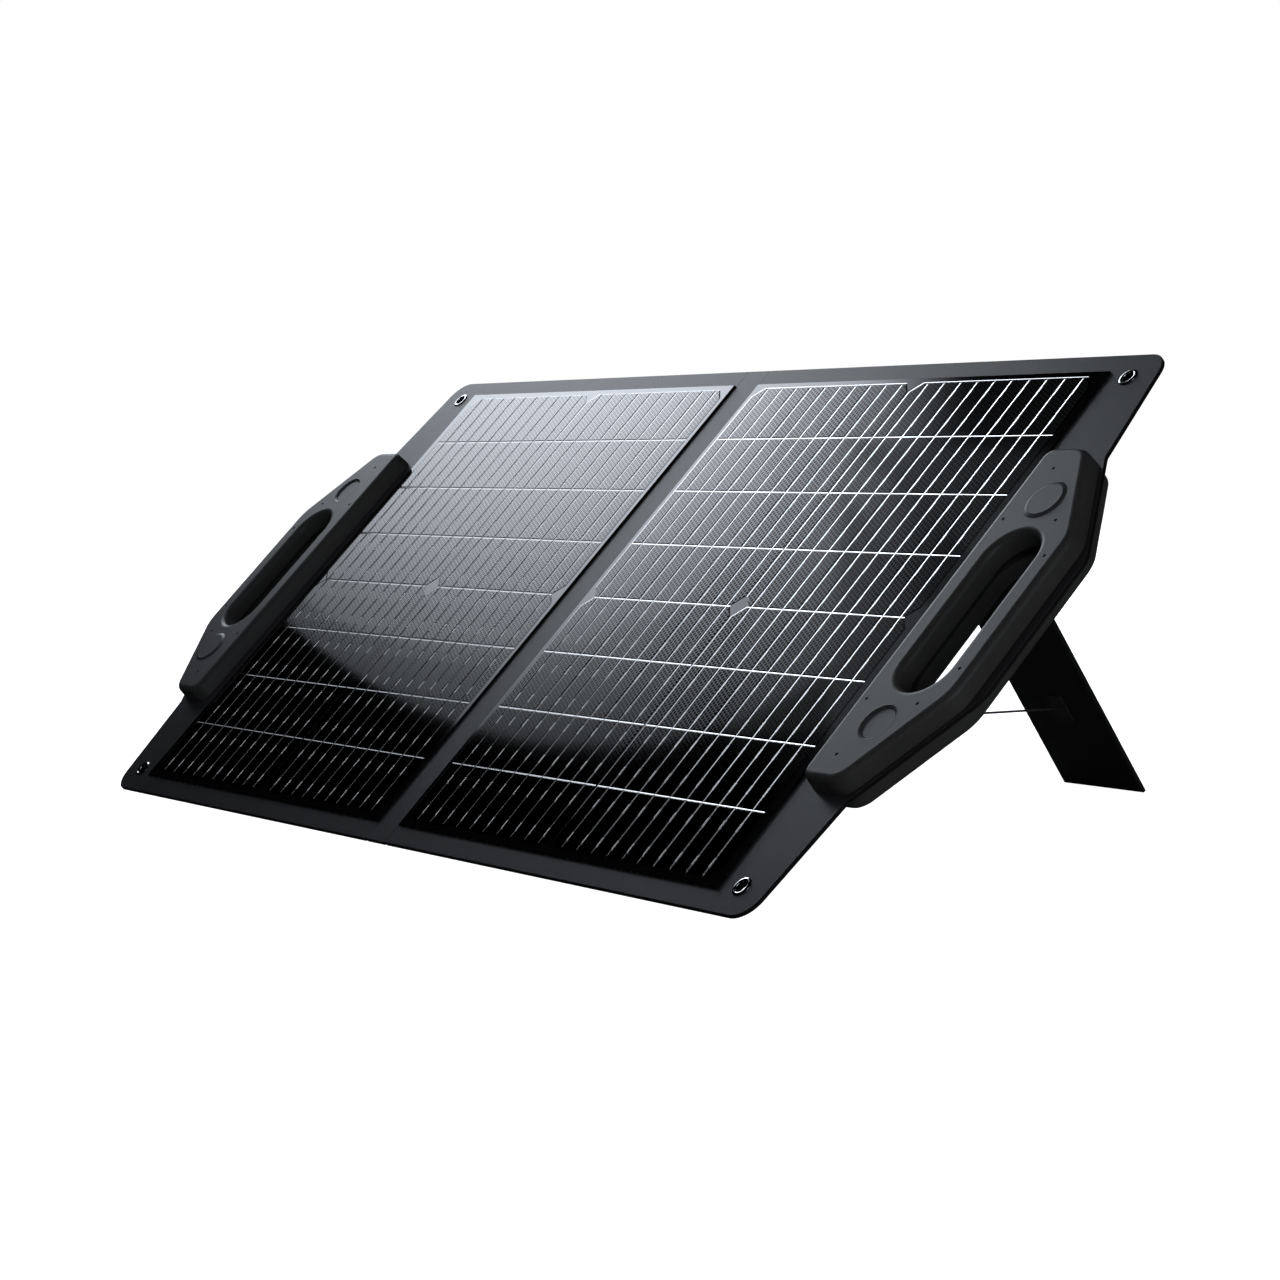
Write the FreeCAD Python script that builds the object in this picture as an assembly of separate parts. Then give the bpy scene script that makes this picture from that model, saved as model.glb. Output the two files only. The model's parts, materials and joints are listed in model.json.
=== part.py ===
import FreeCAD, Part
import math
import os
from FreeCAD import Vector

# Two-leaf folding solar panel, open and standing on its two rear stands.
# Everything is drawn in the panel's own frame: x to the right, s up the panel, n out of the lit face.
# n = 0 is the front cloth. The last step tilts the panel back and puts the origin under its middle.

# --- driving dimensions, mm ---
tilt = 41.8                 # lean of the panel from the ground, degrees
panel_h = 462.0             # height of each leaf
cloth_t = 0.6               # each cloth skin
board_t = 1.8               # stiff core
skin_inset = 0.8            # the cloth stops this far inside the core's edge
crease_x = 13.6             # fold lines either side of the centre
crease_half = 5.0           # the crease cloth reaches this far each side of its fold line
crease_clear = 1.2          # the stiff core stops this far from a fold line
front_cloth_clear = 0.15    # and the front cloth this far
corner_x = 435.0            # half width at the corners
flare = (447.5, 140.0)      # where the edge meets the handle wing: x, distance from mid height
wing = (497.5, 55.4)        # outer corner of the handle wing
corner_r = 18.0

laminate_x0 = 14.8          # edge of the laminate nearest the centre
laminate_w = 379.0
laminate_h = 430.0
laminate_s0 = 16.0
backsheet_t = 1.0
cell_t = 0.2
ribbon_t = 0.2
film_t = 0.35
cell_w = 182.4
column_gap = 1.6
strip_h = 51.7
strip_gap = 0.8
cell_margin = (5.0, 5.6)    # left and bottom margins round the cells
cell_chamfer = 8.5
rows = 8
ribbons_per_column = 10
ribbon_pitch = 17.35
ribbon_w = 0.5
pad_w = 1.5
pad_h = 7.0
cross_w = 0.44
pad_places = (0.05, 0.182, 0.315, 0.445, 0.547, 0.677, 0.811, 0.94)

handle_in = 407.0           # side of the handle next to the laminate
handle_out = 489.0
handle_end = 136.5          # from mid height to the handle's end
handle_shoulder = (445.5, 64.0)   # x where the end stops, height where the outer side starts
front_h = 13.0              # handle face above the front cloth
back_h = 12.0               # back shell behind the back cloth
wall = 3.0
slot_x = 448.0
slot_w = 42.0
slot_half = 64.0            # half length of the front shell's finger slot
back_slot_step = 5.0        # the back shell's slot is shorter by this at each end
handle_radii = (9, 16, 30, 30, 16, 9)   # outline corners, from the lower laminate side round
handle_draw = (1.8, 0.8)    # the face is smaller than the base: laminate side, other sides
handle_round = 4.6
pad_spot = (443.0, 90.3)    # round pads: x, distance from mid height
pad_r = 13.2
boss_h = 1.1
boss_round = 0.7
recess_h = 1.4
recess_gap = 0.5            # the recess is wider than the boss by this all round
screw_spots = ((428.6, 117.0), (417.8, 73.8), (465.3, 73.8), (478.7, 45.0))
screw_hole_r = 1.2
screw_post_r = (3.2, 4.2)   # in the front shell, in the back shell
screw_head_r = 2.5
screw_sink = 4.0            # depth of the counterbore for a screw head
shank_r = 1.15
shank_clear = 0.1
drive_r = 1.0
magnet_r = 10.0
magnet_t = 3.0

eyelet = (413.0, 21.0)      # x, distance in from the top and bottom edges
eyelet_bore_r = 4.25
eyelet_barrel_r = 4.9
eyelet_flange_r = 7.0

stand_x = (162.0, 246.0)
stand_t = 2.4
stand_skin_t = 0.5
stand_open = 79.8           # degrees from folded flat to open
pivot_s = 415.5
pivot_back = 1.2            # pivot line behind the back cloth
stand_drop = 1.8            # stand's inner face behind the pivot line, folded
stand_start = 3.0
hinge_t = 0.8
hinge_inset = 8.0           # the hinge cloth is narrower than the stand by this at each side
hinge_lap = 20.0            # how far the hinge cloth lies on the leaf and on the stand
hinge_free = (12.0, 7.0)    # its free lengths from the pivot line, on the leaf and on the stand
rivet_r = 3.0
rivet_t = 0.8
rivets_per_row = 4
tether_r = 0.8
tether_on_stand = 252.0     # from the pivot line
tether_on_leaf = 130.0      # s of the leaf's tether tab
tab = (16.0, 22.0, 1.0)     # width, length, thickness of a tether tab

box_x = (-135.0, -45.0)     # junction box behind the left leaf
box_s = (300.0, 356.0)
box_d = 17.0
box_wall = 2.0
box_corner_r = 6.0
box_edge_r = 2.5
box_base_t = 2.0
box_screw_in = 6.0          # box screws, from the box's sides
box_post_r = 3.6
box_sink = 2.4              # depth of the counterbore for a box screw's head
box_head_r = 2.4
gasket_t = 0.6
gasket_in = (0.4, 2.4)      # outer and inner edge of the gasket, from the box's sides
peg_r = 2.5
peg_h = 3.0
peg_offset = (22.0, 14.0)   # from the middle of the box
board_size = (60.0, 26.0, 1.6)
board_up = 7.0              # middle of the circuit board above the middle of the box
diode_size = (8.0, 10.0, 3.0)
diode_pitch = 16.0
socket_bore_r = 4.2
socket_wall = 1.45
socket_len = 12.0
socket_back = 9.2           # its axis behind the back cloth
socket_lip = 1.0            # the socket stands proud of the box by this

# --- worked out from those ---
mid_s = panel_h / 2
pack_t = board_t + 2 * cloth_t
back_n = -pack_t
board_n = (back_n + cloth_t, -cloth_t)
pivot_n = back_n - pivot_back
hinge_x = (stand_x[0] + hinge_inset, stand_x[1] - hinge_inset)
stand_face_n = pivot_n - stand_drop                     # folded stand's bare inner face
stand_outer_n = stand_face_n - stand_t - stand_skin_t   # the outer face of its skin
tab_face_n = stand_face_n + stand_skin_t + tab[2]       # the face of its tether tab
stand_mid_x = sum(stand_x) / 2
cell_n = backsheet_t
ribbon_n = cell_n + cell_t
film_n = ribbon_n + ribbon_t
socket_x = sum(box_x) / 2
socket_n = back_n - socket_back
socket_s = box_s[0] - socket_lip
tilt_rad = math.radians(tilt)


def height_of(s, n):
    """Height above the panel's lowest line, for a point in the panel's frame."""
    return s * math.sin(tilt_rad) + n * math.cos(tilt_rad)


def stand_length():
    """Length that puts the lower corner of the open stand level with the panel's bottom edge."""
    opened = math.radians(stand_open)
    start_s = pivot_s + stand_drop * math.sin(opened)
    start_n = pivot_n - stand_drop * math.cos(opened)
    fall = height_of(math.cos(opened), math.sin(opened))
    return (height_of(start_s, start_n) - height_of(0, board_n[0])) / fall


stand_len = stand_length()


# --- small helpers ---
def block(x, s, n):
    return Part.makeBox(x[1] - x[0], s[1] - s[0], n[1] - n[0], Vector(x[0], s[0], n[0]))


def disc(r, x, s, n):
    return Part.makeCylinder(r, n[1] - n[0], Vector(x, s, n[0]))


def ring(r_out, r_in, x, s, n):
    return disc(r_out, x, s, n).cut(disc(r_in, x, s, n))


def rounded_wire(points, radii, n):
    """Closed outline through the points, each corner rounded by its radius."""
    starts, ends, mids = [], [], []
    count = len(points)
    for i, (point, r) in enumerate(zip(points, radii)):
        here = Vector(*point, n)
        to_last = (Vector(*points[i - 1], n) - here).normalize()
        to_next = (Vector(*points[(i + 1) % count], n) - here).normalize()
        half = to_last.getAngle(to_next) / 2
        middle = (to_last + to_next).normalize()
        starts.append(here + to_last * (r / math.tan(half)))
        ends.append(here + to_next * (r / math.tan(half)))
        mids.append(here + middle * (r / math.sin(half) - r))
    edges = []
    for i, r in enumerate(radii):
        if r > 0:
            edges.append(Part.Arc(starts[i], mids[i], ends[i]).toShape())
        edges.append(Part.LineSegment(ends[i], starts[(i + 1) % count]).toShape())
    return Part.Wire(edges)


def slab(wire, thickness):
    return Part.Face(wire).extrude(Vector(0, 0, thickness))


def obround(x, half_w, half_l, n):
    """A slot along s, centred at mid height."""
    straight = half_l - half_w
    shape = block((x - half_w, x + half_w), (mid_s - straight, mid_s + straight), n)
    for end in (-straight, straight):
        shape = shape.fuse(disc(half_w, x, mid_s + end, n))
    return shape.removeSplitter()


def strip_solid(path, thickness, x):
    """A bent strip: a path in the s, n plane, thickened and drawn out along x."""
    left, right = [], []
    for i, here in enumerate(path):
        before = path[max(i - 1, 0)]
        after = path[min(i + 1, len(path) - 1)]
        along = (Vector(0, *after) - Vector(0, *before)).normalize()
        across = Vector(0, -along.z, along.y) * (thickness / 2)
        centre = Vector(x[0], *here)
        left.append(centre + across)
        right.append(centre - across)
    outline = left + right[::-1]
    return Part.Face(Part.makePolygon(outline + outline[:1])).extrude(Vector(x[1] - x[0], 0, 0))


def bend(start, corner, end, steps):
    """Points of a smooth bend from start to end that heads for the corner."""
    points = []
    for i in range(steps + 1):
        t = i / steps
        mix = ((1 - t) ** 2, 2 * t * (1 - t), t ** 2)
        points.append(tuple(mix[0] * start[k] + mix[1] * corner[k] + mix[2] * end[k] for k in (0, 1)))
    return points


def mirrored(shape):
    return shape.mirror(Vector(0, 0, 0), Vector(1, 0, 0))


def both_ends(spots):
    """Each spot above and below mid height."""
    return [(x, mid_s + sign * away) for x, away in spots for sign in (-1, 1)]


# --- cloth and boards; every piece here is drawn for the right leaf ---
def leaf_wire(n):
    points = [(-60, 0), (corner_x, 0), (flare[0], mid_s - flare[1]), (wing[0], mid_s - wing[1]),
              (wing[0], mid_s + wing[1]), (flare[0], mid_s + flare[1]), (corner_x, panel_h), (-60, panel_h)]
    return rounded_wire(points, (0, corner_r, 6, 25, 25, 6, corner_r, 0), n)


eyelet_spots = [(eyelet[0], eyelet[1]), (eyelet[0], panel_h - eyelet[1])]


def through_holes(n):
    """Everything that goes through the cloth and board of a leaf."""
    tools = [obround(slot_x, slot_w / 2, slot_half, n)]
    tools += [disc(eyelet_barrel_r + 0.05, *spot, n) for spot in eyelet_spots]
    tools += [disc(shank_r + 0.35, *spot, n) for spot in both_ends(screw_spots)]
    return Part.makeCompound(tools)


def leaf_layer(n, inset, x_from):
    face = Part.Face(leaf_wire(n[0]))
    if inset:
        face = face.makeOffset2D(-inset)
    layer = face.extrude(Vector(0, 0, n[1] - n[0]))
    keep = block((x_from, wing[0] + 5), (-5, panel_h + 5), (n[0] - 1, n[1] + 1))
    return layer.common(keep).cut(through_holes((n[0] - 1, n[1] + 1)))


def core_board():
    return leaf_layer(board_n, 0, crease_x + crease_clear)


def front_cloth():
    return leaf_layer((-cloth_t, 0), skin_inset, crease_x + front_cloth_clear)


def back_cloth():
    return leaf_layer((back_n, back_n + cloth_t), skin_inset, crease_x + crease_half)


# --- laminate ---
def column_starts():
    first = laminate_x0 + cell_margin[0]
    return (first, first + cell_w + column_gap)


def strip_bottom(row):
    return laminate_s0 + cell_margin[1] + row * (strip_h + strip_gap)


def backsheet():
    return block((laminate_x0, laminate_x0 + laminate_w), (laminate_s0, laminate_s0 + laminate_h),
                 (0, backsheet_t))


def cell_strip(x, row):
    """One quarter of a wafer; the wafer's own corners are cut off."""
    low, high = strip_bottom(row), strip_bottom(row) + strip_h
    bottom_cut = cell_chamfer if row % 4 == 0 else 0
    top_cut = cell_chamfer if row % 4 == 3 else 0
    points = [(x + bottom_cut, low), (x + cell_w - bottom_cut, low), (x + cell_w, low + bottom_cut),
              (x + cell_w, high - top_cut), (x + cell_w - top_cut, high), (x + top_cut, high),
              (x, high - top_cut), (x, low + bottom_cut)]
    outline = [Vector(*p, cell_n) for i, p in enumerate(points) if p != points[i - 1]]
    return Part.Face(Part.makePolygon(outline + outline[:1])).extrude(Vector(0, 0, cell_t))


def cells():
    return [cell_strip(x, row) for x in column_starts() for row in range(rows)]


def ribbon(x):
    """A long ribbon over a column, wider at each solder pad."""
    low = strip_bottom(0) + 1.5
    high = strip_bottom(rows - 1) + strip_h - 1.5
    wafer = 4 * (strip_h + strip_gap)
    right = [(x + ribbon_w / 2, low)]
    for wafer_s in (strip_bottom(0), strip_bottom(4)):
        for place in pad_places:
            middle = wafer_s + place * wafer
            right += [(x + ribbon_w / 2, middle - pad_h / 2), (x + pad_w / 2, middle - pad_h / 2 + 1),
                      (x + pad_w / 2, middle + pad_h / 2 - 1), (x + ribbon_w / 2, middle + pad_h / 2)]
    right.append((x + ribbon_w / 2, high))
    outline = [Vector(*p, ribbon_n) for p in right]
    outline += [Vector(2 * x - p[0], p[1], ribbon_n) for p in reversed(right)]
    return Part.Face(Part.makePolygon(outline + outline[:1])).extrude(Vector(0, 0, ribbon_t))


def ribbons():
    made = []
    for start in column_starts():
        first = start + (cell_w - (ribbons_per_column - 1) * ribbon_pitch) / 2
        made += [ribbon(first + i * ribbon_pitch) for i in range(ribbons_per_column)]
    return made


def cross_ribbons():
    """Thin strips in the gaps between the rows; they stop short of the wafers' cut-off corners."""
    made = []
    for start in column_starts():
        for row in range(1, rows):
            middle = strip_bottom(row) - strip_gap / 2
            short = cell_chamfer if row == rows / 2 else 0.5
            made.append(block((start + short, start + cell_w - short),
                              (middle - cross_w / 2, middle + cross_w / 2), (cell_n, ribbon_n)))
    return made


def front_film():
    return block((laminate_x0, laminate_x0 + laminate_w), (laminate_s0, laminate_s0 + laminate_h),
                 (film_n, film_n + film_t))


# --- handle ---
def handle_points(inner, rim):
    """Outline of the handle, drawn in by inner on the laminate's side and by rim on the others."""
    slope = Vector(handle_shoulder[0] - handle_out, handle_end - handle_shoulder[1], 0)
    normal = Vector(slope.y, -slope.x, 0).normalize()
    out_x = handle_out - rim
    end_s = handle_end - rim
    reach = normal.x * handle_out + normal.y * handle_shoulder[1] - rim
    shoulder_x = (reach - normal.y * end_s) / normal.x
    side_s = (reach - normal.x * out_x) / normal.y
    in_x = handle_in + inner
    return [(in_x, mid_s - end_s), (shoulder_x, mid_s - end_s), (out_x, mid_s - side_s),
            (out_x, mid_s + side_s), (shoulder_x, mid_s + end_s), (in_x, mid_s + end_s)]


def shell_body(n_base, n_top):
    """Handle shell before it is hollowed; it draws in slightly from its base to its face."""
    base = rounded_wire(handle_points(0, 0), handle_radii, n_base)
    top = rounded_wire(handle_points(*handle_draw), handle_radii, n_top)
    return Part.makeLoft([base, top], True, True)


def rim_edges(shape, n):
    """Every edge that lies flat at height n."""
    found = []
    for edge in shape.Edges:
        flat = abs(edge.BoundBox.ZMin - n) < 1e-4 and abs(edge.BoundBox.ZMax - n) < 1e-4
        if flat:
            found.append(edge)
    return found


def cavity(n, slot_l):
    """Hollow inside a shell, around the slot's own wall."""
    space = slab(rounded_wire(handle_points(wall, wall), handle_radii, n[0]), n[1] - n[0])
    return space.cut(obround(slot_x, slot_w / 2 + wall, slot_l + wall, (n[0] - 1, n[1] + 1)))


def handle_front(boss_up):
    shell = shell_body(0, front_h)
    shell = shell.cut(obround(slot_x, slot_w / 2, slot_half, (-1, front_h + 1)))
    shell = shell.makeFillet(handle_round, rim_edges(shell, front_h))
    shell = shell.cut(cavity((-1, front_h - wall), slot_half))
    for spot in both_ends(screw_spots):
        shell = shell.fuse(disc(screw_post_r[0], *spot, (0, front_h - wall + 0.5)))
    for spot in both_ends(screw_spots):
        shell = shell.cut(disc(screw_hole_r, *spot, (-1, front_h + 1)))
    boss_s = mid_s + (pad_spot[1] if boss_up else -pad_spot[1])
    recess_s = 2 * mid_s - boss_s
    boss = disc(pad_r, pad_spot[0], boss_s, (front_h - 0.5, front_h + boss_h))
    shell = shell.fuse(boss.makeFillet(boss_round, rim_edges(boss, front_h + boss_h)))
    recess = disc(pad_r + recess_gap, pad_spot[0], recess_s, (front_h - recess_h, front_h + 1))
    return shell.cut(recess).removeSplitter()


def handle_back():
    outer = back_n - back_h
    shell = shell_body(back_n, outer)
    shell = shell.cut(obround(slot_x, slot_w / 2, slot_half - back_slot_step, (outer - 1, back_n + 1)))
    shell = shell.makeFillet(handle_round, rim_edges(shell, outer))
    shell = shell.cut(cavity((outer + wall, back_n + 1), slot_half - back_slot_step))
    for spot in both_ends(screw_spots):
        shell = shell.fuse(disc(screw_post_r[1], *spot, (outer + wall - 0.5, back_n)))
    for spot in both_ends(screw_spots):
        shell = shell.cut(disc(shank_r + shank_clear, *spot, (outer - 1, back_n + 1)))
        shell = shell.cut(disc(screw_head_r + 0.2, *spot, (outer - 1, outer + screw_sink)))
    return shell.removeSplitter()


def handle_screws():
    head = back_n - back_h + screw_sink
    made = []
    for spot in both_ends(screw_spots):
        shank = disc(shank_r, *spot, (head, front_h - wall - 1))
        screw = disc(screw_head_r, *spot, (head - 1.8, head)).fuse(shank)
        drive = disc(drive_r, *spot, (head - 2, head - 0.8))
        made.append(screw.removeSplitter().cut(drive))
    return made


def magnets():
    top = front_h - wall
    return [disc(magnet_r, *spot, (top - magnet_t, top)) for spot in both_ends((pad_spot,))]


# --- eyelets ---
def eyelets():
    made = []
    for x, s in eyelet_spots:
        flange = disc(eyelet_flange_r, x, s, (0, 0.9))
        barrel = disc(eyelet_barrel_r, x, s, (back_n - 1.3, 0.5))
        rolled = disc(eyelet_barrel_r + 1.0, x, s, (back_n - 1.3, back_n - 0.8))
        solid = flange.fuse([barrel, rolled]).cut(disc(eyelet_bore_r, x, s, (back_n - 2, 1)))
        made.append(solid.removeSplitter())
    return made


def eyelet_washers():
    return [ring(eyelet_flange_r + 0.3, eyelet_barrel_r + 0.05, x, s, (back_n - 0.8, back_n))
            for x, s in eyelet_spots]


# --- stand; drawn folded flat, then opened about its pivot line ---
def opened(shape):
    moved = shape.copy()
    moved.rotate(Vector(0, pivot_s, pivot_n), Vector(1, 0, 0), stand_open)
    return moved


def folded_stand(x_inset, r, depth):
    """Slab of the folded stand between two distances from the pivot and two depths behind its face."""
    return block((stand_x[0] + x_inset, stand_x[1] - x_inset), (pivot_s - r[1], pivot_s - r[0]),
                 (stand_face_n - depth[1], stand_face_n - depth[0]))


def stand_board():
    return opened(folded_stand(0, (stand_start, stand_len), (0, stand_t)))


def stand_skins():
    inset = (stand_start + skin_inset, stand_len - skin_inset)
    inner = folded_stand(skin_inset, inset, (-stand_skin_t, 0))
    outer = folded_stand(skin_inset, inset, (stand_t, stand_t + stand_skin_t))
    return opened(inner), opened(outer)


def tether_tab(s, n):
    return block((stand_mid_x - tab[0] / 2, stand_mid_x + tab[0] / 2), (s - tab[1] / 2, s + tab[1] / 2), n)


def stand_tab():
    skin_n = stand_face_n + stand_skin_t
    return opened(tether_tab(pivot_s - tether_on_stand, (skin_n, skin_n + tab[2])))


def leaf_tab():
    return tether_tab(tether_on_leaf, (back_n - tab[2], back_n))


def turned_point(s, n):
    """Where a point of the folded stand goes when the stand is open."""
    angle = math.radians(stand_open)
    ds, dn = s - pivot_s, n - pivot_n
    return (pivot_s + ds * math.cos(angle) - dn * math.sin(angle),
            pivot_n + ds * math.sin(angle) + dn * math.cos(angle))


def tether_ends():
    """Where the tether meets its tabs, as s and n: on the leaf, then on the open stand."""
    return (tether_on_leaf, back_n - tab[2]), turned_point(pivot_s - tether_on_stand, tab_face_n)


def tether():
    """Straight cord, run on past both ends and then trimmed along the faces of its tabs."""
    low, high = tether_ends()
    start = Vector(stand_mid_x, *low)
    along = Vector(stand_mid_x, *high) - start
    spare = 3.0
    length = along.Length + 2 * spare
    cord = Part.makeCylinder(tether_r, length, start - along.normalize() * spare, along)
    near = (stand_mid_x - tab[0], stand_mid_x + tab[0])
    stand_s = pivot_s - tether_on_stand
    past_leaf = block(near, (tether_on_leaf - tab[1], tether_on_leaf + tab[1]), (back_n - tab[2], 0))
    past_stand = opened(block(near, (stand_s - tab[1], stand_s + tab[1]), (stand_outer_n, tab_face_n)))
    return cord.cut(past_leaf).cut(past_stand)


def hinge_path():
    """Centre line of the stand's hinge cloth, from the leaf's back to the stand's outer face."""
    leaf_n = back_n - hinge_t / 2
    outer = stand_outer_n - hinge_t / 2
    leaf_start = (pivot_s + hinge_free[0] + hinge_lap, leaf_n)
    leaf_end = (pivot_s + hinge_free[0], leaf_n)
    stand_first = turned_point(pivot_s - hinge_free[1], outer)
    stand_last = turned_point(pivot_s - hinge_free[1] - hinge_lap, outer)
    share = (leaf_n - stand_first[1]) / (stand_last[1] - stand_first[1])
    corner = (stand_first[0] + share * (stand_last[0] - stand_first[0]), leaf_n)
    return [leaf_start] + bend(leaf_end, corner, stand_first, 8) + [stand_last]


def stand_hinge():
    return strip_solid(hinge_path(), hinge_t, hinge_x)


def rivet_row(s, n):
    """Flat rivet heads in a row across the hinge cloth, on its face at depth n."""
    first = hinge_x[0] + hinge_inset
    pitch = (hinge_x[1] - hinge_inset - first) / (rivets_per_row - 1)
    return [disc(rivet_r, first + i * pitch, s, (n - rivet_t, n)) for i in range(rivets_per_row)]


def hinge_rivets():
    return rivet_row(pivot_s + hinge_free[0] + hinge_lap / 2, back_n - hinge_t)


def stand_rivets():
    row = rivet_row(pivot_s - hinge_free[1] - hinge_lap / 2, stand_outer_n - hinge_t)
    return [opened(rivet) for rivet in row]


# --- spine between the leaves ---
def spine_board():
    half = crease_x - crease_clear
    return block((-half, half), (0, panel_h), board_n)


def spine_front():
    half = crease_x - front_cloth_clear
    return block((-half, half), (skin_inset, panel_h - skin_inset), (-cloth_t, 0))


def spine_back():
    half = crease_x - crease_half
    return block((-half, half), (skin_inset, panel_h - skin_inset), (back_n, back_n + cloth_t))


def crease_cloth():
    """Back cloth over a fold line; it bends when the panel folds."""
    return block((crease_x - crease_half, crease_x + crease_half), (skin_inset, panel_h - skin_inset),
                 (back_n, back_n + cloth_t))


# --- junction box behind the left leaf ---
box_n = back_n - box_d
box_base_n = back_n - box_base_t
box_mid_s = sum(box_s) / 2
board_top_n = box_base_n - peg_h
box_screws = [(x, s) for x in (box_x[0] + box_screw_in, box_x[1] - box_screw_in)
              for s in (box_s[0] + box_screw_in, box_s[1] - box_screw_in)]
pcb_pegs = [(socket_x + dx, box_mid_s + peg_offset[1]) for dx in (-peg_offset[0], peg_offset[0])]


def box_discs(r, n):
    """A disc at each of the box's four screws."""
    return [disc(r, x, s, n) for x, s in box_screws]


def box_slab(inset, n):
    """Slab with the box's outline, drawn in by inset."""
    left, right = box_x[0] + inset, box_x[1] - inset
    low, high = box_s[0] + inset, box_s[1] - inset
    r = max(box_corner_r - inset, 1)
    return slab(rounded_wire([(left, low), (right, low), (right, high), (left, high)], (r, r, r, r), n[0]),
                n[1] - n[0])


def along_s(r, x, s, n):
    return Part.makeCylinder(r, s[1] - s[0], Vector(x, s[0], n), Vector(0, 1, 0))


def box_base():
    base = box_slab(0, (box_base_n, back_n))
    base = base.fuse([disc(peg_r, x, s, (board_top_n, box_base_n + 0.5)) for x, s in pcb_pegs])
    return base.cut(Part.makeCompound(box_discs(screw_hole_r, (box_base_n - 1, back_n + 1))))


def box_cover():
    n = (box_n, box_base_n - gasket_t)
    body = box_slab(0, n)
    body = body.makeFillet(box_edge_r, rim_edges(body, box_n))
    outside = body.copy()
    body = body.cut(box_slab(box_wall, (box_n + box_wall, n[1] + 1)))
    body = body.fuse(box_discs(box_post_r, (box_n + box_wall - 0.5, n[1]))).common(outside)
    body = body.cut(Part.makeCompound(box_discs(shank_r + shank_clear, (box_n - 1, n[1] + 1))))
    body = body.cut(Part.makeCompound(box_discs(box_head_r + 0.3, (box_n - 1, box_n + box_sink))))
    return body.cut(along_s(socket_bore_r + socket_wall + 0.05, socket_x,
                            (box_s[0] - 1, box_s[0] + box_wall + 1), socket_n))


def box_gasket():
    n = (box_base_n - gasket_t, box_base_n)
    frame = box_slab(gasket_in[0], n).cut(box_slab(gasket_in[1], n))
    return frame.cut(Part.makeCompound(box_discs(box_post_r + 0.2, (n[0] - 1, n[1] + 1))))


def box_screw_set():
    head = box_n + box_sink
    made = []
    for x, s in box_screws:
        screw = disc(box_head_r, x, s, (head - 1.5, head)).fuse(disc(shank_r, x, s, (head, back_n - 0.3)))
        made.append(screw.removeSplitter().cut(disc(drive_r, x, s, (head - 2, head - 0.7))))
    return made


def centred_block(x, s, size, top):
    return block((x - size[0] / 2, x + size[0] / 2), (s - size[1] / 2, s + size[1] / 2), (top - size[2], top))


def circuit_board():
    return centred_block(socket_x, box_mid_s + board_up, board_size, board_top_n)


def bypass_diodes():
    top = board_top_n - board_size[2]
    return [centred_block(socket_x + dx, box_mid_s + board_up, diode_size, top)
            for dx in (-diode_pitch, 0, diode_pitch)]


def output_socket():
    """Blind round socket with a collar against the outside of the box."""
    barrel = along_s(socket_bore_r + socket_wall, socket_x, (socket_s, socket_s + socket_len + 3), socket_n)
    collar = along_s(socket_bore_r + 3.0, socket_x, (socket_s, box_s[0]), socket_n)
    bore = along_s(socket_bore_r, socket_x, (socket_s - 1, socket_s + socket_len), socket_n)
    return barrel.fuse(collar).removeSplitter().cut(bore)


# --- put every node together ---
nodes = {}


def add_leaf(side):
    def put(name, shapes):
        shapes = shapes if isinstance(shapes, list) else [shapes]
        nodes[side + "_" + name] = [mirrored(s) if side == "left" else s for s in shapes]

    inner_skin, outer_skin = stand_skins()
    put("core_board", core_board())
    put("front_cloth", front_cloth())
    put("back_cloth", back_cloth())
    put("backsheet", backsheet())
    put("handle_front", handle_front(side == "right"))
    put("handle_back", handle_back())
    put("handle_screws", handle_screws())
    put("magnets", magnets())
    put("eyelets", eyelets())
    put("eyelet_washers", eyelet_washers())
    put("hinge_rivets", hinge_rivets())
    put("stand_hinge", stand_hinge())
    put("tether_tab", leaf_tab())
    put("tether", tether())
    put("stand_board", stand_board())
    put("stand_inner_skin", inner_skin)
    put("stand_outer_skin", outer_skin)
    put("stand_rivets", stand_rivets())
    put("stand_tab", stand_tab())
    put("crease_cloth", crease_cloth())
    put("cells", cells())
    put("ribbons", ribbons())
    put("cross_ribbons", cross_ribbons())
    put("front_film", front_film())


def add_centre():
    nodes["spine_board"] = [spine_board()]
    nodes["spine_front_cloth"] = [spine_front()]
    nodes["spine_back_cloth"] = [spine_back()]


def add_junction_box():
    nodes["box_base"] = [box_base()]
    nodes["box_cover"] = [box_cover()]
    nodes["box_gasket"] = [box_gasket()]
    nodes["box_screws"] = box_screw_set()
    nodes["circuit_board"] = [circuit_board()]
    nodes["bypass_diodes"] = bypass_diodes()
    nodes["output_socket"] = [output_socket()]


def in_row_frame(shape, shift):
    moved = shape.copy()
    moved.rotate(Vector(0, 0, 0), Vector(1, 0, 0), tilt)
    moved.translate(shift)
    return moved


def origin_shift():
    """Moves the middle of the tilted object's underside to the origin."""
    box = FreeCAD.BoundBox()
    for shapes in nodes.values():
        for shape in shapes:
            box.add(in_row_frame(shape, Vector()).optimalBoundingBox(False))
    print("size", [round(v, 2) for v in (box.XLength, box.YLength, box.ZLength)])
    return Vector(-(box.XMin + box.XMax) / 2, -(box.YMin + box.YMax) / 2, -box.ZMin)


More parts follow.
